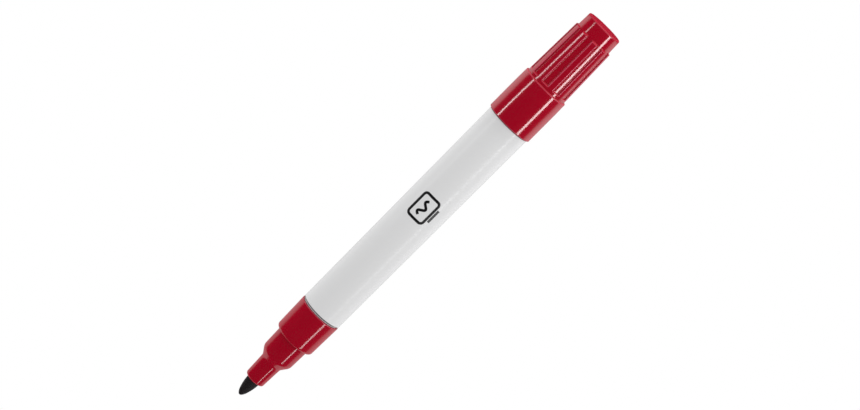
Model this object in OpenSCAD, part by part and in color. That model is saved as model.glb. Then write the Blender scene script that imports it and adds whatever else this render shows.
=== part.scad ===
// Whiteboard marker with a bullet nib, lying on its side with the cap pushed onto its rear end.
// The marker lies along X: the nib points to +X and the cap's closed end to -X. Z is up.
// The origin is on the table, under the middle of the length.
//
// Each piece is turned about the marker's own axis. There, a station is a distance in millimetres
// from the nib's tip (station 0) towards the cap's closed end, and lay_down() puts the piece in place.

/* [Nib] */
// Radius of the nib's stem
nib_r = 2.28; // [2.0:0.01:2.3]
// Length of nib that shows in front of the nose
nib_out = 6.65; // [5:0.05:7]
// Shape of the bullet: 2 gives half an ellipse, and a lower value a more pointed one
nib_shape = 1.52; // [1.2:0.02:2]
// Length of the whole nib, tip to tail
nib_len = 38; // [34:1:40]

/* [Front section] */
// Length of the nose that holds the nib
nose_len = 7.95; // [7:0.05:8.5]
// Radius of the nose at its front
nose_front_r = 3.37; // [3.2:0.01:3.5]
// Radius of the nose at its root
nose_root_r = 3.68; // [3.5:0.01:3.7]
// Length of the sloping neck
neck_len = 2.6; // [2.3:0.05:3.2]
// Radius of the sealing step at its front
step_front_r = 5.47; // [5.3:0.01:5.5]
// Radius of the sealing step at its root
step_root_r = 5.68; // [5.5:0.01:5.7]
// Length of the sealing step
step_len = 7.4; // [7:0.05:8]
// Radius of the collar at its front
collar_front_r = 6.95; // [6.8:0.01:7.1]
// Radius of the collar next to the barrel
collar_rear_r = 7.24; // [7.1:0.01:7.25]
// Length of the collar
collar_len = 12.1; // [11:0.1:12.8]

/* [Barrel] */
// Outer radius of the barrel at the collar
barrel_front_r = 7.16; // [7.1:0.01:7.25]
// Outer radius of the barrel at the cap
barrel_rear_r = 7.46; // [7.4:0.01:7.6]
// Radius of the barrel's bore
barrel_bore_r = 6.3; // [6.2:0.05:6.4]
// Length of the barrel
barrel_len = 82.05; // [70:0.05:95]
// Width of the shadow gap between collar and barrel
shadow_gap = 0.45; // [0.2:0.05:0.5]

/* [Cap] */
// Outer radius of the cap's skirt, the widest part of the marker
skirt_r = 8.0; // [7.95:0.01:8.2]
// Outer radius of the skirt at its step
skirt_end_r = 7.92; // [7.85:0.01:7.95]
// Length of the skirt
skirt_len = 15.8; // [15:0.1:17]
// Length of the plain ring between the skirt and the grooves
ring_len = 1.2; // [0.8:0.1:2]
// Length of the ribs beyond the ring
rib_len = 18.9; // [15:0.1:20]
// Length of the plain end beyond the ribs
end_len = 4.9; // [4:0.1:6]
// Number of grip ribs
rib_count = 10; // [8:1:12]
// Width of a rib, in degrees round the axis
rib_angle = 16.2; // [12:0.1:18]
// Turn of the ribs from straight up, in degrees
rib_turn = 11.4; // [0:0.1:36]
// Radius over the ribs at the ring
rib_root_r = 7.35; // [7.3:0.01:7.5]
// Radius over the ribs at their far end
rib_tip_r = 6.90; // [6.85:0.01:7.0]
// Depth of the grooves between the ribs
groove_depth = 0.56; // [0.4:0.01:0.6]
// Radius of the cap at its closed end
end_r = 6.18; // [6.1:0.01:6.3]
// Radius of the cap's bore, which takes the collar or the posting stub
cap_bore_r = 7.3; // [7.28:0.01:7.32]

/* [Hidden] */
$fn = 96;

cap_red = [0.62, 0.01, 0.06];
barrel_white = [0.88, 0.88, 0.88];
nib_black = [0.05, 0.04, 0.05];
seal_white = [0.90, 0.90, 0.86];
film_white = [0.80, 0.82, 0.84];
fibre_ink = [0.16, 0.02, 0.05];

fit_gap = 0.02;        // radial gap of the parts that are pressed together for good
slide_gap = 0.05;      // radial gap of the parts that slide
edge = 0.2;            // rounding of a moulded edge
arc_steps = 6;         // straight pieces in each rounded corner
overlap = 0.5;         // how far a shape runs into the one it is joined to or cut from

// Stations along the front section
nose_front = nib_out;
neck_front = nose_front + nose_len;
step_front = neck_front + neck_len;
collar_front = step_front + step_len;
collar_rear = collar_front + collar_len;
tenon_len = 9.5;
tenon_wall = 1.0;
tenon_r = barrel_bore_r - fit_gap;
socket_r = tenon_r - tenon_wall;      // takes either end of the reservoir
nib_bore_r = nib_r + 0.03;
nib_bore_len = 14.8;
chamber_r = 3.2;                      // overflow space behind the nib's bore
chamber_len = 4.2;
vent_count = 3;
vent_r = 0.25;

// Stations along the barrel and the reservoir
barrel_front = collar_rear + shadow_gap;
barrel_rear = barrel_front + barrel_len;
lip_r = barrel_front_r - 0.45;        // the barrel's front end steps down to this, which leaves the shadow gap
rest_rib_count = 4;                   // ribs inside the barrel that steady the reservoir
rest_rib_w = 0.8;
film = 0.15;
reservoir_r = socket_r - slide_gap;
reservoir_front = collar_front + 4.6;
reservoir_rear = barrel_rear - 1.2;

// Stations along the rear plug
stub_r = 7.05;
stub_tip_r = 6.95;
stub_len = 12.8;
stub_wall = 1.2;
stub_rib_count = 6;
stub_rib_w = 0.8;
stub_end = barrel_rear + stub_len;

// Stations along the cap
cap_rim = barrel_rear + 0.2;
skirt_end = cap_rim + skirt_len;
taper_start = skirt_end - 4.4;        // the skirt is a true cylinder from its rim to here
rib_start = skirt_end + ring_len;
rib_end = rib_start + rib_len;
cap_end = rib_end + end_len;
ledge = cap_rim + 13.3;               // inner step that stops the collar
guide_r = step_root_r + slide_gap;    // guides the sealing step
guide_end = ledge + 8.3;              // where the neck has narrowed enough for the seal to start
cap_wall = 1.0;
seal_seat_r = 5.2;
seal_rear = cap_end - cap_wall;
seal_wall = 0.55;
seal_floor = 0.8;
seal_land_r = nose_root_r + 0.04;     // grips the root of the nose
seal_cone_len = 1.9;                  // as steep as the neck, which rests in it
seal_land_len = 1.5;

overall_len = cap_end;
axis_height = skirt_r;

// ---- Outlines ----

function unit(v) = v / norm(v);
function turned(v, angle) = [v.x * cos(angle) - v.y * sin(angle), v.x * sin(angle) + v.y * cos(angle)];

// The corner at b between a and c, as an arc of radius r.
function corner_arc(a, b, c, r) =
    let (
        to_a = unit(a - b),
        to_c = unit(c - b),
        half = acos(to_a * to_c) / 2,
        centre = b + unit(to_a + to_c) * r / sin(half),
        start = b + to_a * r / tan(half) - centre,
        side = sign(cross(to_a, to_c))
    )
    [for (k = [0:arc_steps]) centre + turned(start, -side * (180 - 2 * half) * k / arc_steps)];

// A closed outline from corners of the form [radius from the axis, station, corner rounding].
function rounded(corners) =
    let (n = len(corners))
    [
        for (i = [0:n - 1])
            let (
                before = corners[(i + n - 1) % n],
                here = corners[i],
                after = corners[(i + 1) % n]
            )
            each here[2] == 0
                ? [[here[0], here[1]]]
                : corner_arc([before[0], before[1]], [here[0], here[1]], [after[0], after[1]], here[2])
    ];

// Turns an outline about the marker's axis, all the way round or over part of a turn.
module turn_outline(corners, angle = 360) {
    rotate_extrude(angle = angle) polygon(rounded(corners));
}

// Copies a shape evenly round the axis, the first one at an angle from straight up.
module around(count, first = 0) {
    for (i = [0:count - 1])
        rotate([0, 0, first + i * 360 / count]) children();
}

// From stations along the axis to the marker lying on the table.
module lay_down() {
    translate([overall_len / 2, 0, axis_height]) rotate([0, -90, 0]) children();
}

// ---- Nib ----

bullet_steps = 20;

function bullet(a) = nib_r * sqrt(1 - pow(1 - a / nib_out, nib_shape));

// Bullet nib with a straight stem that runs back into the reservoir.
module nib() {
    tail_chamfer = 0.5;
    outline = [
        for (k = [0:bullet_steps]) let (a = nib_out * pow(k / bullet_steps, 1.8)) [bullet(a), a],
        [nib_r, nib_len - tail_chamfer],
        [nib_r - tail_chamfer, nib_len],
        [0, nib_len]
    ];
    color(nib_black) lay_down() rotate_extrude() polygon(outline);
}

// ---- Front section ----

// Nose, neck, sealing step and collar, with the tenon that is pressed into the barrel.
module front_section_shell() {
    turn_outline([
        [nib_bore_r, nose_front, 0],
        [nose_front_r, nose_front, 0.8],
        [nose_root_r, neck_front, 1.8],
        [step_front_r, step_front, 2.6],
        [step_root_r, collar_front, 0.15],
        [collar_front_r, collar_front, 1.0],
        [collar_rear_r, collar_rear, edge],
        [tenon_r, collar_rear, 0],
        [tenon_r, barrel_front + tenon_len, 0.3],
        [socket_r, barrel_front + tenon_len, 0.3],
        [socket_r, reservoir_front - 0.05, 0],
        [chamber_r, nose_front + nib_bore_len + chamber_len, 0],
        [chamber_r, nose_front + nib_bore_len, 0],
        [nib_bore_r, nose_front + nib_bore_len, 0]
    ]);
}

// Air channels beside the nib, from the nose's face back to the overflow chamber.
module vent_channels() {
    around(vent_count)
        translate([nib_bore_r, 0, nose_front - overlap])
            cylinder(r = vent_r, h = nib_bore_len + 2 * overlap);
}

module front_section() {
    color(cap_red) lay_down() difference() {
        front_section_shell();
        vent_channels();
    }
}

// ---- Barrel ----

module barrel_tube() {
    turn_outline([
        [barrel_bore_r, collar_rear + fit_gap, 0],
        [lip_r, collar_rear + fit_gap, 0],
        [lip_r, barrel_front, 0],
        [barrel_front_r, barrel_front, 2 * edge],
        [barrel_rear_r, barrel_rear, edge],
        [barrel_bore_r, barrel_rear, 0]
    ]);
}

// Ribs inside the bore that steady the reservoir and leave air room round it.
module rest_ribs() {
    front = barrel_front + tenon_len + 1.5;
    rear = barrel_rear - tenon_len - 1.5;
    around(rest_rib_count, 45)
        translate([socket_r, -rest_rib_w / 2, front])
            cube([barrel_bore_r - socket_r + overlap, rest_rib_w, rear - front]);
}

module barrel() {
    color(barrel_white) lay_down() union() {
        barrel_tube();
        rest_ribs();
    }
}

// ---- Ink reservoir ----

// Fibre core, with the hole that the nib's tail makes in its front end.
module ink_reservoir() {
    color(fibre_ink) lay_down() difference() {
        translate([0, 0, reservoir_front]) cylinder(r = reservoir_r - film, h = reservoir_rear - reservoir_front);
        translate([0, 0, reservoir_front - overlap])
            cylinder(r = nib_bore_r, h = nib_len - reservoir_front + overlap + 0.1);
    }
}

// Plastic film that holds the core together.
module reservoir_wrap() {
    color(film_white) lay_down() turn_outline([
        [reservoir_r - film, reservoir_front, 0],
        [reservoir_r, reservoir_front, 0],
        [reservoir_r, reservoir_rear, 0],
        [reservoir_r - film, reservoir_rear, 0]
    ]);
}

// ---- Rear plug ----

// Cup that closes the barrel, with a stub behind it for posting the cap.
module plug_shell() {
    turn_outline([
        [0, stub_end - stub_wall, 0],
        [0, stub_end, 0],
        [stub_tip_r, stub_end, 0.8],
        [stub_r, barrel_rear, 0],
        [tenon_r, barrel_rear, 0],
        [tenon_r, barrel_rear - tenon_len, 0.3],
        [socket_r, barrel_rear - tenon_len, 0.3],
        [socket_r, stub_end - stub_wall, 0.4]
    ]);
}

// Fine ribs on the stub that the cap's bore grips.
module stub_ribs() {
    front = barrel_rear + 1.6;
    rear = stub_end - 2.2;
    rib_r = cap_bore_r - slide_gap;
    ramp = 0.6;
    around(stub_rib_count, 30)
        rotate([90, 0, 0])
            translate([0, 0, -stub_rib_w / 2])
                linear_extrude(height = stub_rib_w)
                    polygon([
                        [stub_tip_r - overlap, front],
                        [stub_tip_r, front],
                        [rib_r, front + ramp],
                        [rib_r, rear - ramp],
                        [stub_tip_r, rear],
                        [stub_tip_r - overlap, rear]
                    ]);
}

module rear_plug() {
    color(cap_red) lay_down() union() {
        plug_shell();
        stub_ribs();
    }
}

// ---- Cap ----

end_floor_r = rib_tip_r - groove_depth;

// Skirt, ring and the tapered core that the ribs stand on, with the stepped bore inside.
module cap_shell() {
    turn_outline([
        [cap_bore_r, cap_rim, 0.15],
        [skirt_r, cap_rim, edge],
        [skirt_r, taper_start, 0],
        [skirt_end_r, skirt_end, 0.3],
        [rib_root_r, skirt_end, 0],
        [rib_root_r, rib_start, 0],
        [rib_root_r - groove_depth, rib_start, 0],
        [end_floor_r, rib_end, 0],
        [end_r, cap_end, 0.5],
        [0, cap_end, 0],
        [0, seal_rear, 0],
        [seal_seat_r, seal_rear, 0.3],
        [seal_seat_r, guide_end, 0],
        [guide_r, guide_end, 0],
        [guide_r, ledge, edge],
        [cap_bore_r, ledge, edge]
    ]);
}

// One grip rib, centred straight up.
module grip_rib() {
    rotate([0, 0, -rib_angle / 2])
        turn_outline([
            [end_floor_r - overlap, rib_start - overlap, 0],
            [rib_root_r, rib_start - overlap, 0],
            [rib_root_r, rib_start, 0],
            [rib_tip_r, rib_end, 0],
            [end_floor_r - overlap, rib_end, 0]
        ], rib_angle);
}

module cap() {
    color(cap_red) lay_down() union() {
        cap_shell();
        around(rib_count, rib_turn) grip_rib();
    }
}

// Soft cup at the bottom of the cap. Its mouth seats on the neck and its land grips the nose.
module cap_inner_seal() {
    mouth_r = seal_seat_r - fit_gap - 0.15;
    cone_end = guide_end + seal_cone_len;
    land_end = cone_end + seal_land_len;
    color(seal_white) lay_down() turn_outline([
        [mouth_r, guide_end + 0.02, 0],
        [seal_seat_r - fit_gap, guide_end + 0.02, 0],
        [seal_seat_r - fit_gap, seal_rear - 0.02, 0.4],
        [0, seal_rear - 0.02, 0],
        [0, seal_rear - seal_floor, 0],
        [seal_seat_r - fit_gap - seal_wall, seal_rear - seal_floor, 0.3],
        [seal_seat_r - fit_gap - seal_wall, land_end + 1.0, 0],
        [seal_land_r, land_end, 0.2],
        [seal_land_r, cone_end, 0.3]
    ]);
}

nib();
front_section();
barrel();
ink_reservoir();
reservoir_wrap();
rear_plug();
cap();
cap_inner_seal();
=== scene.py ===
"""Looks for the whiteboard marker: turned mouldings, felt nib, printed pictogram, materials and lights."""

import math

import bmesh
import bpy
from mathutils import Matrix, Vector, noise


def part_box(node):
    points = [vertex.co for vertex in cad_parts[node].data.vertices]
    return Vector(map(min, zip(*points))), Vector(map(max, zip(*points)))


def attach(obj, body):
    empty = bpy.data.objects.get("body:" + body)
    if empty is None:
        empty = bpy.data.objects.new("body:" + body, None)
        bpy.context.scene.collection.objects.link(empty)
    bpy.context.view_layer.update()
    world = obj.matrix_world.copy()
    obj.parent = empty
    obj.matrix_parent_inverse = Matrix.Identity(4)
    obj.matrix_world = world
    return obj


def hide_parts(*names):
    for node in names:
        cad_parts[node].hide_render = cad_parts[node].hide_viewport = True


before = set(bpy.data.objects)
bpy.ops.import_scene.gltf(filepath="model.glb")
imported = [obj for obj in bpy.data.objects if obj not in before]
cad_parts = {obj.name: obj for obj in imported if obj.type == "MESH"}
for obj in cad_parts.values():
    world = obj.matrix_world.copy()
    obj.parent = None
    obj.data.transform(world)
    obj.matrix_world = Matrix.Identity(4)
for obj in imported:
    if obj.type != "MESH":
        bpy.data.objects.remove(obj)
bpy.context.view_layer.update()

MM = 0.001
TURN = 2 * math.pi

# ---- Camera ----

CAMERA_TILT = math.radians(10.8)      # from straight down, leaning over the capped end
CAMERA_ROLL = math.radians(45.085)    # the marker lies along the picture's diagonal
CAMERA_DISTANCE = 818 * MM
CAMERA_LENS = 113.02
AIM = Vector((-4.51, 0.47, 8.63)) * MM

along = Vector((-math.cos(CAMERA_TILT), 0, -math.sin(CAMERA_TILT)))   # the marker's direction, nib to cap
across = Vector((0, 1, 0))
cam_back = Vector((-math.sin(CAMERA_TILT), 0, math.cos(CAMERA_TILT)))
cam_right = along * math.cos(CAMERA_ROLL) + across * math.sin(CAMERA_ROLL)
cam_up = along * math.sin(CAMERA_ROLL) - across * math.cos(CAMERA_ROLL)

camera = bpy.data.objects.new("camera", bpy.data.cameras.new("camera"))
bpy.context.scene.collection.objects.link(camera)
camera.data.lens = CAMERA_LENS
camera.data.clip_start = 0.01
camera.data.clip_end = 50
camera.matrix_world = Matrix.Translation(AIM + cam_back * CAMERA_DISTANCE) @ Matrix(
    (cam_right, cam_up, cam_back)
).transposed().to_4x4()
bpy.context.scene.camera = camera

# ---- Sizes, in millimetres. A station is a distance from the nib's tip towards the cap's end ----

TIP_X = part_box("nib")[1].x
AXIS_Z = (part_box("cap")[0].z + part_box("cap")[1].z) / 2


def station(x):
    return (TIP_X - x) / MM


NIB_R = 2.28
NIB_SHAPE = 1.52                      # 2 would give half an ellipse
NIB_LEN = station(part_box("nib")[0].x)
NIB_TAIL = 0.5

NOSE_LEN, NECK_LEN, STEP_LEN, COLLAR_LEN = 7.95, 2.6, 7.4, 12.1
NOSE_FRONT = station(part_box("front_section")[1].x)
NECK_FRONT = NOSE_FRONT + NOSE_LEN
STEP_FRONT = NECK_FRONT + NECK_LEN
COLLAR_FRONT = STEP_FRONT + STEP_LEN
COLLAR_REAR = COLLAR_FRONT + COLLAR_LEN
NOSE_FRONT_R, NOSE_ROOT_R = 3.37, 3.68
NOSE_ROUND = 0.8
STEP_FRONT_R, STEP_ROOT_R = 5.47, 5.68
COLLAR_FRONT_R, COLLAR_REAR_R = 6.95, 7.24
NIB_BORE_R = NIB_R + 0.03
NIB_BORE_LEN = 14.8
CHAMBER_R, CHAMBER_LEN = 3.2, 4.2
VENTS = 3
VENT_R = 0.25
TENON_R, TENON_LEN = 6.28, 9.5
SOCKET_R = 5.28
SOCKET_FLOOR = COLLAR_FRONT + 4.55

SHADOW_GAP = 0.45                     # behind the collar, as wide as it is deep
LIP_FRONT = station(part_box("barrel")[1].x)
BARREL_FRONT = COLLAR_REAR + SHADOW_GAP
BARREL_REAR = station(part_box("barrel")[0].x)
BARREL_FRONT_R, BARREL_REAR_R = 7.16, 7.46
BARREL_BORE_R = 6.3
LIP_R = BARREL_FRONT_R - SHADOW_GAP

STUB_R, STUB_TIP_R = 7.05, 6.95
STUB_END = station(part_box("rear_plug")[0].x)
STUB_WALL = 1.2
STUB_RIBS = 6
STUB_RIB_R, STUB_RIB_W = 7.25, 0.8
STUB_RIB_TURN = math.radians(30)
STUB_RIB_FRONT, STUB_RIB_REAR = BARREL_REAR + 1.6, STUB_END - 2.2
STUB_RIB_RAMP = 0.7

CAP_RIM = station(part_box("cap")[1].x)
CAP_END = station(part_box("cap")[0].x)
SKIRT_LEN, TAPER_LEN, RING_LEN, RIB_LEN = 15.8, 4.4, 1.2, 18.9
SKIRT_R, SKIRT_END_R = 8.0, 7.92
SKIRT_END = CAP_RIM + SKIRT_LEN
TAPER_START = SKIRT_END - TAPER_LEN   # the skirt narrows from here to its end
RIB_START = SKIRT_END + RING_LEN
RIB_END = RIB_START + RIB_LEN
RIB_ROOT_R, RIB_TIP_R = 7.35, 6.90
RIBS = 10
RIB_HALF = math.radians(8.6)          # from a rib's middle to the middle of its flank
RIB_TURN = math.radians(11.4)
GROOVE = 0.56                         # depth between the ribs
END_R = 6.18
END_WALL = 1.0
CAP_BORE_R, GUIDE_R, SEAT_R = 7.3, 5.73, 5.2
CAP_BORE_LEN, GUIDE_LEN = 13.3, 8.3
LEDGE = CAP_RIM + CAP_BORE_LEN
GUIDE_END = LEDGE + GUIDE_LEN

SEAL_R = SEAT_R - 0.02
SEAL_FRONT = station(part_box("cap_inner_seal")[1].x)
SEAL_REAR = station(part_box("cap_inner_seal")[0].x)
SEAL_LIP, SEAL_WALL, SEAL_FLOOR = 0.15, 0.55, 0.8
SEAL_LAND_R = 3.72
SEAL_CONE_LEN, SEAL_LAND_LEN, SEAL_STEP_LEN = 1.88, 1.5, 1.0
SEAL_LAND = SEAL_FRONT + SEAL_CONE_LEN

# ---- Turned shapes ----

SEGMENTS = 224
ARC_STEPS = 7
HOLD = 0.07                           # distance from a corner to the loop that keeps its shading tight
LONGEST = 3.0
SOFT_BEND, SHARP_BEND = 1.0, 2.4      # bends, as 1 / radius in mm, between which an edge starts to look light from its painted highlight
RIM_DULL = 0.85                       # how much less painted highlight a round rim gets than an edge along the marker
RIM_LEAN = 0.25                       # a rim is fully dulled once its normals lean this much along the marker


def smooth_step(low, high, x):
    t = min(1, max(0, (x - low) / (high - low)))
    return t * t * (3 - 2 * t)


def soften(corners, closed=True):
    """Points of an outline given as (radius, station, rounding), with round corners and holding points."""
    n = len(corners)
    runs = []
    for i, (r, a, rounding) in enumerate(corners):
        here = Vector((r, a))
        if not closed and i in (0, n - 1) or rounding == 0:
            runs.append([here])
            continue
        before = Vector(corners[i - 1][:2])
        after = Vector(corners[(i + 1) % n][:2])
        to_before, to_after = (before - here).normalized(), (after - here).normalized()
        half = to_before.angle(to_after) / 2
        centre = here + (to_before + to_after).normalized() * rounding / math.sin(half)
        start = here + to_before * rounding / math.tan(half) - centre
        end = here + to_after * rounding / math.tan(half) - centre
        sweep = start.angle(end)
        runs.append([
            centre + (start * math.sin(sweep * (1 - k / ARC_STEPS)) + end * math.sin(sweep * k / ARC_STEPS))
            / math.sin(sweep)
            for k in range(ARC_STEPS + 1)
        ])
    points = []
    for i, run in enumerate(runs):
        points += run
        if not closed and i == n - 1:
            break
        first, last = run[-1], runs[(i + 1) % n][0]
        gap = (last - first).length
        if gap > 3 * HOLD:
            step = (last - first) / gap
            inner = gap - 2 * HOLD
            pieces = max(1, math.ceil(inner / LONGEST))
            points += [first + step * (HOLD + inner * k / pieces) for k in range(pieces + 1)]
    return points


def place(r, a, angle):
    """Radius and station in mm, and an angle from straight up towards +Y, as a point in the frame."""
    return Vector((TIP_X - a * MM, r * MM * math.sin(angle), AXIS_Z + r * MM * math.cos(angle)))


def spaced(low, high, count):
    """Evenly spaced values from low up to one step short of high."""
    return [low + (high - low) * k / count for k in range(count)]


def ribbed_angles(first, count, side):
    """Angles round the axis for a shape with ribs. side goes from a rib's middle to the next groove's."""
    offsets = [-d for d in reversed(side[1:-1])] + side
    return [first + TURN * k / count + d for k in range(count) for d in offsets]


def off_middle(angle, first, count):
    """Unsigned angle to the nearest of count directions that are evenly spaced round the axis from first."""
    pitch = TURN / count
    return abs((angle - first + pitch / 2) % pitch - pitch / 2)


def mark_edges(bm):
    """Writes how tightly the surface bends at each point, 0 on flats and up to 1.

    The attribute edge counts only outward bends, and less of them on round rims; it places the painted
    highlight on outer edges. fold counts both ways; it makes tight bends rougher, and fold less edge places
    painted shade in inner corners.
    """
    edge_layer = bm.verts.layers.float.new("edge")
    fold_layer = bm.verts.layers.float.new("fold")
    bm.normal_update()
    for vert in bm.verts:
        bends = [0]
        for edge in vert.link_edges:
            other = edge.other_vert(vert)
            step = other.co - vert.co
            bends.append((other.normal - vert.normal).dot(step) / step.length_squared * MM)
        rim = 1 - RIM_DULL * min(1, abs(vert.normal.x) / RIM_LEAN)
        vert[edge_layer] = smooth_step(SOFT_BEND, SHARP_BEND, max(bends)) * rim
        vert[fold_layer] = smooth_step(SOFT_BEND, SHARP_BEND, max(max(bends), -min(bends)))


def object_from(bm, name, body, nodes):
    """Makes a mesh a piece that rides on a body and stands for CAD nodes, if any."""
    bmesh.ops.recalc_face_normals(bm, faces=bm.faces)
    mark_edges(bm)
    mesh = bpy.data.meshes.new(name)
    bm.to_mesh(mesh)
    bm.free()
    mesh.polygons.foreach_set("use_smooth", [True] * len(mesh.polygons))
    piece = bpy.data.objects.new(name, mesh)
    bpy.context.scene.collection.objects.link(piece)
    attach(piece, body)
    if nodes:
        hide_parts(*nodes)
    return piece


def turned(name, points, body, nodes, angles=None, closed=True, shape=None):
    """An outline turned about the axis. shape(radius, station, angle) may move a point's radius."""
    angles = angles or spaced(0, TURN, SEGMENTS)
    bm = bmesh.new()
    rings = []
    for r, a in points:
        if r < 1e-6:
            rings.append([bm.verts.new(place(0, a, 0))])
        else:
            rings.append([bm.verts.new(place(shape(r, a, t) if shape else r, a, t)) for t in angles])
    count = len(angles)
    pairs = list(zip(rings, rings[1:])) + ([(rings[-1], rings[0])] if closed else [])
    for one, two in pairs:
        for k in range(count):
            m = (k + 1) % count
            corners = []
            for v in (one[k % len(one)], one[m % len(one)], two[m % len(two)], two[k % len(two)]):
                if v not in corners:
                    corners.append(v)
            if len(corners) > 2:
                bm.faces.new(corners)
    return object_from(bm, name, body, nodes)


# ---- Nib ----

BULLET_RINGS = 64
BULLET_CROWDING = 1.7                 # above 1, the rings are closest together at the tip
FIBRE_SCALE = Vector((0.35, 5.5, 5.5))
FIBRE_HEIGHT = 0.022
LUMP_SCALE = Vector((0.8, 0.9, 0.9))
LUMP_SHIFT = Vector((7, 0, 0))        # takes the lumps from another part of the noise
LUMP_HEIGHT = 0.016
FELT_INSET = 0.012                    # sinks the felt, since its bumps stand out from the plain bullet
TIP_FADE, NOSE_FADE = 0.8, 0.5        # the felt turns smooth over these lengths at its tip and at the nose


def nib_radius(a):
    return NIB_R * math.sqrt(max(0, 1 - max(0, 1 - a / NOSE_FRONT) ** NIB_SHAPE))


def felt(r, a, angle):
    """Fibres run lengthwise, so the unevenness is long along the axis and fine round it."""
    if a > NOSE_FRONT:
        return r
    here = Vector((a, r * math.sin(angle), r * math.cos(angle)))
    fibres = FIBRE_HEIGHT * noise.noise(here * FIBRE_SCALE)
    lumps = LUMP_HEIGHT * noise.noise(here * LUMP_SCALE + LUMP_SHIFT)
    fade = smooth_step(0, TIP_FADE, a) * smooth_step(NOSE_FRONT, NOSE_FRONT - NOSE_FADE, a)
    return r + fade * (fibres + lumps - FELT_INSET)


bullet = [NOSE_FRONT * (k / BULLET_RINGS) ** BULLET_CROWDING for k in range(BULLET_RINGS + 1)]
nib_outline = [(nib_radius(a), a) for a in bullet]
nib_outline += [(NIB_R, a) for a in (*range(9, 34, 6), NIB_LEN - NIB_TAIL)]
nib_outline += [(NIB_R - NIB_TAIL, NIB_LEN), (0, NIB_LEN)]
nib_piece = turned("nib_felt", nib_outline, "marker", ["nib"], closed=False, shape=felt)

# ---- Front section ----

FRONT_SEGMENTS = 240


def vent_notches(r, a, angle):
    """Three air channels beside the nib, seen as notches in the nose's face."""
    face_edge = NOSE_FRONT_R - NOSE_ROUND
    if a > NOSE_FRONT + NIB_BORE_LEN or r > face_edge:
        return r
    side = off_middle(angle, 0, VENTS) * NIB_BORE_R
    depth = math.sqrt(max(0, VENT_R ** 2 - side ** 2))
    return r + depth * (face_edge - r) / (face_edge - NIB_BORE_R)


front_points = soften([
    (NIB_BORE_R, NOSE_FRONT, 0.03),
    (NOSE_FRONT_R, NOSE_FRONT, NOSE_ROUND),
    (NOSE_ROOT_R, NECK_FRONT, 1.8),
    (STEP_FRONT_R, STEP_FRONT, 2.6),
    (STEP_ROOT_R, COLLAR_FRONT, 0.15),
    (COLLAR_FRONT_R, COLLAR_FRONT, 1.0),
    (COLLAR_REAR_R, COLLAR_REAR, 0.16),
    (TENON_R, COLLAR_REAR, 0.06),
    (TENON_R, BARREL_FRONT + TENON_LEN, 0.3),
    (SOCKET_R, BARREL_FRONT + TENON_LEN, 0.3),
    (SOCKET_R, SOCKET_FLOOR, 0.2),
    (CHAMBER_R, NOSE_FRONT + NIB_BORE_LEN + CHAMBER_LEN, 0.2),
    (CHAMBER_R, NOSE_FRONT + NIB_BORE_LEN, 0.1),
    (NIB_BORE_R, NOSE_FRONT + NIB_BORE_LEN, 0),
])
front_piece = turned("front_section_moulding", front_points, "marker", ["front_section"],
                     angles=spaced(0, TURN, FRONT_SEGMENTS), shape=vent_notches)

# ---- Barrel ----

barrel_points = soften([
    (BARREL_BORE_R, LIP_FRONT, 0.08),
    (LIP_R, LIP_FRONT, 0.08),
    (LIP_R, BARREL_FRONT, 0.1),
    (BARREL_FRONT_R, BARREL_FRONT, 0.4),
    (BARREL_REAR_R, BARREL_REAR, 0.05),
    (BARREL_BORE_R, BARREL_REAR, 0.1),
])
barrel_piece = turned("barrel_tube", barrel_points, "marker", ["barrel"])

# ---- Rear plug ----

STUB_RIB_HALF = STUB_RIB_W / 2 / STUB_RIB_R
STUB_LEAN = math.radians(0.9)         # a rib's flank leans this far to either side of its middle
STUB_FLANK_TOP = STUB_RIB_HALF - STUB_LEAN
STUB_FLANK_FOOT = STUB_RIB_HALF + STUB_LEAN


def stub_ribs(r, a, angle):
    """Raises the fine ribs that grip the cap's bore, with a ramp at both ends."""
    ramp = smooth_step(STUB_RIB_FRONT, STUB_RIB_FRONT + STUB_RIB_RAMP, a)
    ramp *= smooth_step(STUB_RIB_REAR, STUB_RIB_REAR - STUB_RIB_RAMP, a)
    if r < TENON_R or ramp == 0:
        return r
    gap = off_middle(angle, STUB_RIB_TURN, STUB_RIBS)
    return r + (STUB_RIB_R - r) * ramp * smooth_step(STUB_FLANK_FOOT, STUB_FLANK_TOP, gap)


plug_points = soften([
    (0, STUB_END - STUB_WALL, 0),
    (SOCKET_R, STUB_END - STUB_WALL, 0.4),
    (SOCKET_R, BARREL_REAR - TENON_LEN, 0.3),
    (TENON_R, BARREL_REAR - TENON_LEN, 0.3),
    (TENON_R, BARREL_REAR, 0),
    (STUB_R, BARREL_REAR, 0.08),
    (STUB_TIP_R, STUB_END, 0.8),
    (0, STUB_END, 0),
], closed=False)
plug_pitch = TURN / STUB_RIBS
# Few segments on a rib's top, and many on its flank
plug_side = spaced(0, STUB_FLANK_TOP, 3) + spaced(STUB_FLANK_TOP, STUB_FLANK_FOOT, 7)
plug_side += spaced(STUB_FLANK_FOOT, plug_pitch / 2, 14) + [plug_pitch / 2]
plug_piece = turned("rear_plug_moulding", plug_points, "marker", ["rear_plug"],
                    angles=ribbed_angles(STUB_RIB_TURN, STUB_RIBS, plug_side), closed=False, shape=stub_ribs)

# ---- Cap ----

RIB_MEAN_R = (RIB_ROOT_R + RIB_TIP_R) / 2
RIB_EDGE_ROUND = 0.22
RIB_FOOT_ROUND = 0.14
FLANK_RUN = 0.3                       # how far a rib's side leans out from its edge to its foot
REACH = 0.6                           # the profile runs this far to either side of a flank's middle
RIB_LEAD = 0.25                       # the ribs are raised from this far in front of RIB_START
WALL_TOP, WALL_FOOT = 0.06, 0.1       # the grooves' front wall leans, from before RIB_START to behind it
END_FLOOR_R = RIB_TIP_R - GROOVE
END_SLOPE = (END_FLOOR_R - END_R) / (CAP_END - RIB_END)

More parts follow.
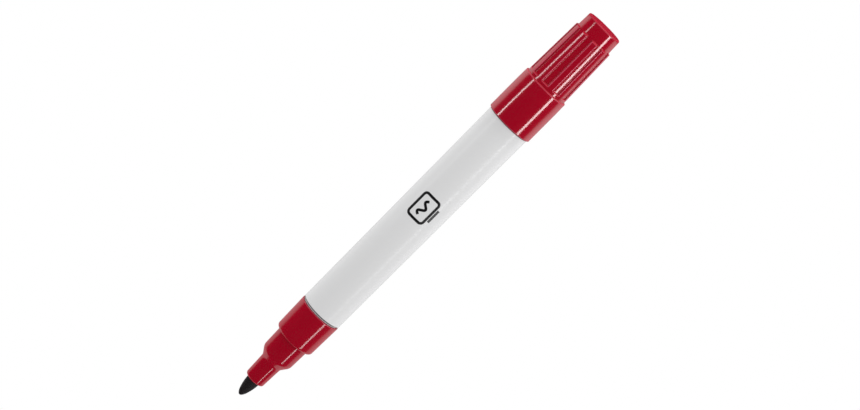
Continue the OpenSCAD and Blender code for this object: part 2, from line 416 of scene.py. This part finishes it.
# A rib's side: height as a share of the groove's depth, and distance outwards from the flank's middle
rib_edge = [(p.x / GROOVE, p.y) for p in soften([
    (GROOVE, -REACH, 0),
    (GROOVE, -FLANK_RUN / 2, RIB_EDGE_ROUND),
    (0, FLANK_RUN / 2, RIB_FOOT_ROUND),
    (0, REACH, 0),
], closed=False)]
flank_distances = [d for _, d in rib_edge[1:-1]]


def rib_height(distance):
    """Share of the rib's full height at a distance outwards from the middle of its flank."""
    for (h0, d0), (h1, d1) in zip(rib_edge, rib_edge[1:]):
        if d0 <= distance <= d1:
            return h0 + (h1 - h0) * (distance - d0) / (d1 - d0)
    return 1.0 if distance < 0 else 0.0


def grip_ribs(r, a, angle):
    """Raises the ribs from the grooves, in line with the ring. Radii under END_R are the cap's inside."""
    if r < END_R or not RIB_START - RIB_LEAD < a < RIB_END + REACH:
        return r
    along_rib = (a - RIB_START) / (RIB_END - RIB_START)
    top = RIB_ROOT_R + (RIB_TIP_R - RIB_ROOT_R) * max(0, along_rib)
    side = (off_middle(angle, RIB_TURN, RIBS) - RIB_HALF) * RIB_MEAN_R
    return r + max(0, top - r) * rib_height(side) * rib_height(a - RIB_END)


cap_inside = [
    (0, CAP_END - END_WALL, 0),
    (SEAT_R, CAP_END - END_WALL, 0.3),
    (SEAT_R, GUIDE_END, 0.05),
    (GUIDE_R, GUIDE_END, 0.05),
    (GUIDE_R, LEDGE, 0.2),
    (CAP_BORE_R, LEDGE, 0.2),
]
cap_outside = [
    (CAP_BORE_R, CAP_RIM, 0.05),
    (SKIRT_R, CAP_RIM, 0.22),
    (SKIRT_R, TAPER_START, 0),
    (SKIRT_END_R, SKIRT_END, 0.28),
    (RIB_ROOT_R, SKIRT_END, 0.1),
    (RIB_ROOT_R, RIB_START - WALL_TOP, 0.2),
    (RIB_ROOT_R - GROOVE, RIB_START + WALL_FOOT, 0.14),
]
cap_outside += [(END_FLOOR_R - END_SLOPE * d, RIB_END + d, 0) for d in flank_distances]
cap_outside += [
    (END_R, CAP_END, 0.5),
    (0, CAP_END, 0),
]
cap_pitch = TURN / RIBS
flank_angles = [RIB_HALF + d / RIB_MEAN_R for d in flank_distances]
cap_side = spaced(0, flank_angles[0], 3) + flank_angles
cap_side += spaced(flank_angles[-1], cap_pitch / 2, 4)[1:] + [cap_pitch / 2]
cap_points = soften(cap_inside + cap_outside, closed=False)
cap_piece = turned("cap_moulding", cap_points, "cap", ["cap"],
                   angles=ribbed_angles(RIB_TURN, RIBS, cap_side), closed=False, shape=grip_ribs)

# ---- Inner seal ----

seal_points = soften([
    (0, SEAL_REAR, 0),
    (SEAL_R, SEAL_REAR, 0.4),
    (SEAL_R, SEAL_FRONT, 0.05),
    (SEAL_R - SEAL_LIP, SEAL_FRONT, 0.05),
    (SEAL_LAND_R, SEAL_LAND, 0.3),
    (SEAL_LAND_R, SEAL_LAND + SEAL_LAND_LEN, 0.2),
    (SEAL_R - SEAL_WALL, SEAL_LAND + SEAL_LAND_LEN + SEAL_STEP_LEN, 0.1),
    (SEAL_R - SEAL_WALL, SEAL_REAR - SEAL_FLOOR, 0.3),
    (0, SEAL_REAR - SEAL_FLOOR, 0),
], closed=False)
seal_piece = turned("inner_seal_cup", seal_points, "cap", ["cap_inner_seal"], closed=False)

# ---- Printed pictogram: a whiteboard on its tray, with a squiggle ----

PRINT_STATION = 83.8
PRINT_ANGLE = math.radians(2.5)
INK = 0.018                           # how far the ink stands out
STROKE = 0.85
BOARD_W, BOARD_H, BOARD_CORNER = 8.6, 6.0, 1.1
BOARD_LIFT = Vector((0, 0.55))
TRAY_W, TRAY_DROP = 4.8, 3.55
WAVE_STEPS = 60
WAVE_W, WAVE_H = 5.2, 0.95
WAVES = 1.5
WAVE_FADE = 0.25                      # how much flatter the squiggle is at its end


def barrel_radius(a):
    share = (a - BARREL_FRONT) / (BARREL_REAR - BARREL_FRONT)
    return BARREL_FRONT_R + (BARREL_REAR_R - BARREL_FRONT_R) * share


def on_barrel(p, q, height):
    """p mm to the right and q mm up on the print, which reads from nib to cap."""
    a = PRINT_STATION + p
    r = barrel_radius(a)
    return place(r + height, a, PRINT_ANGLE - q / r)


def ink_stroke(bm, path, closed=False):
    """A flat band of ink along a path, as a thin closed solid with mitred corners."""
    n = len(path)
    rings = []
    for i, here in enumerate(path):
        before = path[i - 1] if closed or i else here
        after = path[(i + 1) % n] if closed or i < n - 1 else here
        direction = ((here - before).normalized() + (after - here).normalized()).normalized()
        side = Vector((-direction.y, direction.x)) * STROKE / 2
        rings.append([
            bm.verts.new(on_barrel(*(here + side), INK)),
            bm.verts.new(on_barrel(*(here - side), INK)),
            bm.verts.new(on_barrel(*(here - side), -INK)),
            bm.verts.new(on_barrel(*(here + side), -INK)),
        ])
    for one, two in list(zip(rings, rings[1:])) + ([(rings[-1], rings[0])] if closed else []):
        for k in range(4):
            m = (k + 1) % 4
            bm.faces.new((one[k], one[m], two[m], two[k]))
    if not closed:
        bm.faces.new(rings[0])
        bm.faces.new(rings[-1])


def rounded_frame(width, height, corner, steps=10):
    """The outline of a rectangle with round corners."""
    path = []
    for sx, sy, start in ((1, 1, 0), (-1, 1, 90), (-1, -1, 180), (1, -1, 270)):
        middle = Vector((sx * (width / 2 - corner), sy * (height / 2 - corner)))
        for k in range(steps + 1):
            t = math.radians(start + 90 * k / steps)
            path.append(middle + corner * Vector((math.cos(t), math.sin(t))))
    return path


def dense(path, closed, longest=0.35):
    """The path with extra points, so that a stroke follows the barrel's curve."""
    out = []
    ends = path[1:] + (path[:1] if closed else [])
    for p, q in zip(path, ends):
        count = max(1, math.ceil((q - p).length / longest))
        out += [p.lerp(q, k / count) for k in range(count)]
    return out if closed else out + [path[-1]]


def wave_point(t):
    """A point of the squiggle, for t from 0 at its start to 1 at its end."""
    return Vector((WAVE_W * (t - 0.5), WAVE_H * math.sin(TURN * WAVES * t) * (1 - WAVE_FADE * t)))


print_mesh = bmesh.new()
board = [p + BOARD_LIFT for p in rounded_frame(BOARD_W, BOARD_H, BOARD_CORNER)]
ink_stroke(print_mesh, dense(board, True), closed=True)
ink_stroke(print_mesh, [wave_point(k / WAVE_STEPS) + BOARD_LIFT for k in range(WAVE_STEPS + 1)])
ink_stroke(print_mesh, dense([Vector((-TRAY_W / 2, -TRAY_DROP)), Vector((TRAY_W / 2, -TRAY_DROP))], False))
print_piece = object_from(print_mesh, "barrel_print", "marker", [])
for polygon in print_piece.data.polygons:
    polygon.use_smooth = False

# ---- Materials ----

NOISE_SPAN = (0.3, 0.7)               # where most values of a noise texture lie


def feed(links, socket, value):
    """Sets a socket to a number or a colour, or links another socket to it."""
    if isinstance(value, bpy.types.NodeSocket):
        links.new(value, socket)
    else:
        socket.default_value = value


def ranged(nodes, links, source, span, low, high, smooth=False):
    """Maps a socket's values over a span of two numbers to low and high, each a number or a socket."""
    node = nodes.new("ShaderNodeMapRange")
    if smooth:
        node.interpolation_type = "SMOOTHSTEP"
    links.new(source, node.inputs["Value"])
    node.inputs["From Min"].default_value = span[0]
    node.inputs["From Max"].default_value = span[1]
    feed(links, node.inputs["To Min"], low)
    feed(links, node.inputs["To Max"], high)
    return node.outputs["Result"]


def material(name, base, roughness, bumps=(), mottle=None, rough_noise=None, edge_highlight_and_roughness=None, crease_shade=None,
             **sockets):
    """A procedural plastic, felt or ink. All scales are per mm, first along the marker and then across it.

    base and roughness are the plain values. They stay on the shader's sockets, under what is linked to them.
    Each of bumps is (scales, strength, height in mm). mottle is (scales, the other colour). rough_noise is
    (scales, lowest roughness, highest roughness). edge_highlight_and_roughness is (colour of a painted
    highlight on sharp outer edges, roughness of tight bends). crease_shade is the colour of painted shade in
    tight inner corners. sockets are the shader's other sockets, with _ for a space.
    """
    mat = bpy.data.materials.new(name)
    mat.use_nodes = True
    nodes, links = mat.node_tree.nodes, mat.node_tree.links
    bsdf = nodes["Principled BSDF"]
    bsdf.inputs["Base Color"].default_value = (*base, 1)
    bsdf.inputs["Roughness"].default_value = roughness
    for key, value in sockets.items():
        bsdf.inputs[key.replace("_", " ")].default_value = value
    coords = nodes.new("ShaderNodeTexCoord")

    def pattern(scales, detail=2):
        mapping = nodes.new("ShaderNodeMapping")
        mapping.inputs["Scale"].default_value = (scales[0] / MM, scales[1] / MM, scales[1] / MM)
        links.new(coords.outputs["Object"], mapping.inputs["Vector"])
        texture = nodes.new("ShaderNodeTexNoise")
        texture.inputs["Scale"].default_value = 1
        texture.inputs["Detail"].default_value = detail
        links.new(mapping.outputs["Vector"], texture.inputs["Vector"])
        return texture.outputs["Fac"]

    def attribute(kind):
        node = nodes.new("ShaderNodeAttribute")
        node.attribute_name = kind
        return node.outputs["Fac"]

    def blend(first, second, factor):
        mix = nodes.new("ShaderNodeMix")
        mix.data_type = "RGBA"
        color_inputs = [socket for socket in mix.inputs if socket.type == "RGBA"]
        feed(links, color_inputs[0], first)
        feed(links, color_inputs[1], (*second, 1))
        links.new(factor, mix.inputs["Factor"])
        return next(socket for socket in mix.outputs if socket.type == "RGBA")

    color, rough, normal = (*base, 1), roughness, None
    if mottle:
        scales, other = mottle
        color = blend(color, other, pattern(scales))
    if rough_noise:
        scales, smoothest, roughest = rough_noise
        rough = ranged(nodes, links, pattern(scales), NOISE_SPAN, smoothest, roughest)
    # Painted shade: tight inner corners, such as the gap behind the collar, are blended towards dark grey
    if crease_shade:
        inner = nodes.new("ShaderNodeMath")
        inner.operation = "SUBTRACT"
        inner.use_clamp = True
        links.new(attribute("fold"), inner.inputs[0])
        links.new(attribute("edge"), inner.inputs[1])
        color = blend(color, crease_shade, inner.outputs["Value"])
    # Painted highlight: sharp outer edges are blended towards a pale pink where glints of the lights would
    # show; tight bends also get rougher
    if edge_highlight_and_roughness:
        edge_highlight_color, edge_roughness = edge_highlight_and_roughness
        color = blend(color, edge_highlight_color, attribute("edge"))
        rough = ranged(nodes, links, attribute("fold"), (0, 1), rough, edge_roughness)
    for scales, strength, height in bumps:
        bump = nodes.new("ShaderNodeBump")
        bump.inputs["Strength"].default_value = strength
        bump.inputs["Distance"].default_value = height * MM
        links.new(pattern(scales, detail=0), bump.inputs["Height"])
        if normal:
            links.new(normal, bump.inputs["Normal"])
        normal = bump.outputs["Normal"]

    feed(links, bsdf.inputs["Base Color"], color)
    feed(links, bsdf.inputs["Roughness"], rough)
    if normal:
        links.new(normal, bsdf.inputs["Normal"])
    return mat


red = material(
    "red_plastic", (0.385, 0.0003, 0.0125), 0.11,
    bumps=[((0.10, 0.22), 0.3, 0.004)],
    mottle=((0.15, 0.3), (0.368, 0.0002, 0.0115)),
    rough_noise=((0.5, 0.5), 0.10, 0.13),
    # pale pink painted highlight on sharp outer edges, and the roughness of tight bends
    edge_highlight_and_roughness=((0.66, 0.045, 0.12), 0.42),
    Sheen_Weight=0.3,
    Sheen_Roughness=0.8,
    Sheen_Tint=(1, 0.01, 0.07, 1),
    Specular_IOR_Level=1,
)
white = material(
    "white_plastic", (0.875, 0.875, 0.878), 0.2,
    bumps=[((0.02, 0.6), 0.15, 0.002)],
    mottle=((0.03, 0.4), (0.86, 0.86, 0.865)),
    rough_noise=((0.2, 0.8), 0.19, 0.21),
    # dark grey painted shade in tight inner corners, such as the gap behind the collar
    crease_shade=(0.1, 0.1, 0.1),
    Specular_IOR_Level=0.15,
)
felt_black = material(
    "nib_felt", (0.008, 0.004, 0.006), 0.75,
    bumps=[((1.2, 14), 0.9, 0.05), ((9, 16), 0.6, 0.03)],
    mottle=((1.4, 16), (0.018, 0.009, 0.013)),
    rough_noise=((2, 12), 0.6, 0.9),
)
ink_black = material(
    "black_print", (0.006, 0.006, 0.006), 0.35,
    bumps=[((6, 6), 0.3, 0.004)],
    mottle=((2, 2), (0.011, 0.011, 0.012)),
    rough_noise=((3, 3), 0.28, 0.42),
)
natural = material(
    "seal_plastic", (0.80, 0.79, 0.73), 0.38,
    bumps=[((1.5, 1.5), 0.3, 0.006)],
    mottle=((0.4, 0.4), (0.74, 0.73, 0.67)),
    rough_noise=((1, 1), 0.32, 0.45),
)
fibre = material(
    "ink_fibre", (0.05, 0.012, 0.02), 0.9,
    bumps=[((0.5, 9), 1, 0.08)],
    mottle=((0.4, 8), (0.10, 0.03, 0.045)),
    rough_noise=((1, 8), 0.75, 0.95),
)
film = material(
    "clear_film", (0.72, 0.73, 0.75), 0.25,
    bumps=[((0.3, 0.6), 0.4, 0.03)],
    mottle=((0.3, 0.3), (0.64, 0.65, 0.68)),
    rough_noise=((0.5, 0.5), 0.2, 0.32),
)

for piece, mat in (
    (nib_piece, felt_black), (front_piece, red), (barrel_piece, white), (plug_piece, red), (cap_piece, red),
    (seal_piece, natural), (print_piece, ink_black),
    (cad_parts["ink_reservoir"], fibre), (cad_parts["reservoir_wrap"], film),
):
    piece.data.materials.clear()
    piece.data.materials.append(mat)

# ---- Floor and room: plain white to the camera, with other strengths as light and in the marker's gloss ----

FLOOR_HALF = 15                       # metres, so that its edges are out of sight
FLOOR_LIGHT = 1.2                     # brightness of the floor as it lights the marker
ROOM_LIGHT = 0.68                     # brightness of the room as it lights the marker
ROOM_GLOSS = 0.006                    # brightness of the room in the marker's gloss

# In gloss, the floor is a pool of light round the marker. Places are in mm, from the axis or along x
POOL_CLOSE = 0.52                     # brightness close to the marker
POOL_PEAK = (1.0, 0.64)               # brightness at its brightest, towards the cap and towards the nib
POOL_PEAK_X = (-50, 50)
POOL_RISE = (8, 22)                   # goes up to the peak between these distances from the axis
POOL_FALL = (24, 95)                  # fades out between these
POOL_FAR = 0.04                       # brightness beyond them
POOL_END_X = (-79.5, -77.5)           # it ends here, just short of the cap's closed end
POOL_BEHIND = 0.03                    # brightness behind the cap


def in_metres(span):
    return [value * MM for value in span]


def object_xyz(nodes, links):
    coords = nodes.new("ShaderNodeTexCoord")
    split = nodes.new("ShaderNodeSeparateXYZ")
    links.new(coords.outputs["Object"], split.inputs["Vector"])
    return split.outputs


def by_ray(nodes, links, kind, usual, special):
    """One value for most rays, and a special one for rays of one kind, such as Is Camera Ray."""
    path = nodes.new("ShaderNodeLightPath")
    return ranged(nodes, links, path.outputs[kind], (0, 1), usual, special)


def glow(name, strength):
    """A white material that only emits, and its emission node."""
    mat = bpy.data.materials.new(name)
    mat.use_nodes = True
    nodes = mat.node_tree.nodes
    nodes.clear()
    emission = nodes.new("ShaderNodeEmission")
    emission.inputs["Strength"].default_value = strength
    emission.inputs["Color"].default_value = (1, 1, 1, 1)
    output = nodes.new("ShaderNodeOutputMaterial")
    mat.node_tree.links.new(emission.outputs["Emission"], output.inputs["Surface"])
    return mat, emission


def flat_panel(name, corners, mat):
    mesh = bpy.data.meshes.new(name)
    mesh.from_pydata([tuple(c) for c in corners], [], [(0, 1, 2, 3)])
    panel = bpy.data.objects.new(name, mesh)
    bpy.context.scene.collection.objects.link(panel)
    panel.data.materials.append(mat)
    return panel


def add_floor():
    mat, emission = glow("floor_white", 1)
    nodes, links = mat.node_tree.nodes, mat.node_tree.links
    xyz = object_xyz(nodes, links)
    absolute = nodes.new("ShaderNodeMath")
    absolute.operation = "ABSOLUTE"
    links.new(xyz["Y"], absolute.inputs[0])
    off_axis = absolute.outputs["Value"]
    peak = ranged(nodes, links, xyz["X"], in_metres(POOL_PEAK_X), *POOL_PEAK)
    pool = ranged(nodes, links, off_axis, in_metres(POOL_RISE), POOL_CLOSE, peak, smooth=True)
    pool = ranged(nodes, links, off_axis, in_metres(POOL_FALL), pool, POOL_FAR, smooth=True)
    pool = ranged(nodes, links, xyz["X"], in_metres(POOL_END_X), POOL_BEHIND, pool, smooth=True)
    unseen = by_ray(nodes, links, "Is Glossy Ray", FLOOR_LIGHT, pool)
    links.new(by_ray(nodes, links, "Is Camera Ray", unseen, 1), emission.inputs["Strength"])
    half = FLOOR_HALF
    flat_panel("floor", [(-half, -half, 0), (half, -half, 0), (half, half, 0), (-half, half, 0)], mat)


def add_room():
    world = bpy.data.worlds.new("studio")
    bpy.context.scene.world = world
    world.use_nodes = True
    nodes, links = world.node_tree.nodes, world.node_tree.links
    background = nodes["Background"]
    background.inputs["Color"].default_value = (1, 1, 1, 1)
    unseen = by_ray(nodes, links, "Is Glossy Ray", ROOM_LIGHT, ROOM_GLOSS)
    links.new(by_ray(nodes, links, "Is Camera Ray", unseen, 1), background.inputs["Strength"])


add_floor()
add_room()

# ---- Lights ----

def strip_light(name, start, end, side, widths, bright, far_bright=None, change=None):
    """A strip softbox that shows only in gloss, from start to end in mm. side is the way that its width runs.

    widths are those of its two ends. Its brightness may go from bright to far_bright over a span of x in mm,
    which is change.
    """
    start, end, side = Vector(start) * MM, Vector(end) * MM, Vector(side).normalized() * MM / 2
    mat, emission = glow(name, bright)
    if change:
        nodes, links = mat.node_tree.nodes, mat.node_tree.links
        level = ranged(nodes, links, object_xyz(nodes, links)["X"], in_metres(change), bright, far_bright)
        links.new(level, emission.inputs["Strength"])
    near, far = side * widths[0], side * widths[1]
    panel = flat_panel(name, [start - near, end - far, end + far, start + near], mat)
    panel.visible_camera = False
    panel.visible_diffuse = False
    panel.visible_shadow = False


def shading_light(name, location, aim, size, energy):
    """A soft lamp that lights surfaces but isn't seen in their gloss."""
    data = bpy.data.lights.new(name, "AREA")
    data.shape = "DISK"
    data.size = size
    data.energy = energy
    lamp = bpy.data.objects.new(name, data)
    bpy.context.scene.collection.objects.link(lamp)
    lamp.location = location
    lamp.rotation_euler = (Vector(aim) - Vector(location)).to_track_quat("-Z", "Y").to_euler()
    lamp.visible_glossy = False
    lamp.visible_camera = False


strip_light("strip_right", start=(-220, 400, 220), end=(330, 400, 262), side=(0, -0.5, 0.866),
            widths=(110, 40), bright=8.6, far_bright=4.7, change=(-30, 190))
strip_light("strip_left", start=(-60, -400, 280), end=(85, -400, 168), side=(0, 0.5, 0.866),
            widths=(60, 40), bright=6, far_bright=8, change=(-10, 14))
strip_light("strip_end", start=(-500, -250, 150), end=(-500, 250, 150), side=(0, 0, 1),
            widths=(160, 160), bright=1.4)
shading_light("fill_side", (-0.16, 0.26, 0.15), (-0.03, 0, 0.008), size=0.14, energy=0.10)
shading_light("fill_end", (-0.45, 0, 0.055), (-0.08, 0, 0.008), size=0.09, energy=0.9)

bpy.context.scene.view_settings.view_transform = "Standard"
